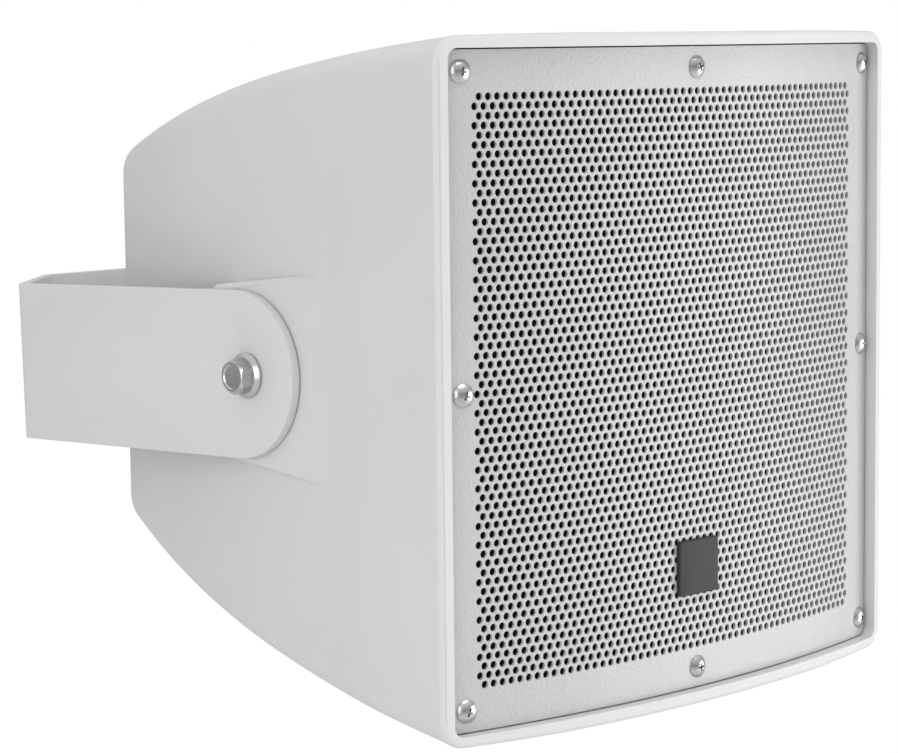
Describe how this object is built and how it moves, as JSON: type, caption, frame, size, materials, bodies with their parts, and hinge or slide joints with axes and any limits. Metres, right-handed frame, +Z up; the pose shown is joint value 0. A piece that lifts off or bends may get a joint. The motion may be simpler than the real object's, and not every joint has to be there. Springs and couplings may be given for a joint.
{
  "type": "loudspeaker",
  "caption": "Square weather-proof loudspeaker: tapered moulded cabinet, curved perforated steel grille, and a folded steel U-bracket that it tilts in.",
  "frame": {"origin": "centre of the bracket's wall face, on the axis of its centre hole", "axes": "+Y into the wall, +Z up, +X to the right as seen from the front"},
  "size_m": [0.3336, 0.4033, 0.325],
  "materials": {
    "bracket_paint": "smooth light grey powder coat",
    "cabinet": "light grey moulded plastic, satin",
    "grille_paint": "light grey powder coat, fine orange peel",
    "black_foam": "open black foam",
    "bright_steel": "polished stainless",
    "badge": "plain dark plate, satin",
    "black_plastic": "black moulded plastic",
    "rubber": "black rubber",
    "zinc_steel": "zinc plated",
    "black_steel": "black stove enamel",
    "cone_paper": "black pressed paper pulp",
    "former_film": "amber film",
    "copper": "enamelled copper wire",
    "spider_cloth": "resin treated cloth",
    "ferrite": "dark sintered ferrite",
    "brass": "turned brass",
    "nylon": "black nylon",
    "panel_plate": "light grey plate",
    "board": "green glass-fibre board",
    "capacitor_film": "dipped film capacitor",
    "lamination": "varnished steel sheets",
    "winding_tape": "yellow winding tape"
  },
  "bodies": {
    "bracket": {"wall_bracket": "bracket_paint"},
    "cabinet": {"cabinet_shell": "cabinet", "front_grille": "grille_paint", "grille_foam": "black_foam", "grille_screws": "bright_steel", "badge_plate": "badge", "baffle": "black_plastic", "baffle_seal": "rubber", "baffle_screws": "zinc_steel", "woofer_frame": "black_steel", "woofer_front_gasket": "rubber", "woofer_surround": "rubber", "woofer_spider": "spider_cloth", "woofer_top_plate": "zinc_steel", "woofer_magnet": "ferrite", "woofer_yoke": "zinc_steel", "woofer_screws": "zinc_steel", "tweeter_bridge": "black_steel", "tweeter_housing": "black_plastic", "tweeter_flare": "black_plastic", "tweeter_dome": "cone_paper", "pivot_inserts": "brass", "pivot_spacers": "nylon", "pivot_bolts": "bright_steel", "rear_panel": "panel_plate", "rear_panel_gasket": "rubber", "rear_panel_screws": "bright_steel", "gland_body": "black_plastic", "gland_cap_nut": "black_plastic", "gland_seal": "rubber", "gland_locknut": "black_plastic", "selector_switch": "black_plastic", "crossover_board": "board", "crossover_coils": "copper", "crossover_capacitors": "capacitor_film", "crossover_screws": "zinc_steel", "transformer_core": "lamination", "transformer_winding": "winding_tape", "transformer_strap": "zinc_steel", "transformer_screws": "zinc_steel"},
    "cone": {"woofer_cone": "cone_paper", "dust_cap": "cone_paper", "coil_former": "former_film", "voice_coil": "copper"},
    "selector": {"selector_knob": "black_plastic"}
  },
  "joints": [
    {"name": "cabinet_tilt", "type": "hinge", "parent": "bracket", "child": "cabinet", "pos_m": [0, -0.2445, 0], "axis": [1, 0, 0], "range_deg": [-90, 90]},
    {"name": "cone_travel", "type": "slide", "parent": "cabinet", "child": "cone", "axis": [0, 0.9994, 0.0349], "range_m": [-0.004, 0.004], "stiffness_N_per_m": 1500, "deforming": ["woofer_surround", "woofer_spider"]},
    {"name": "selector_turn", "type": "hinge", "parent": "cabinet", "child": "selector", "pos_m": [-0.035, -0.05582, -0.05355], "axis": [0, 0.9994, 0.0349], "range_deg": [-60, 60]}
  ]
}
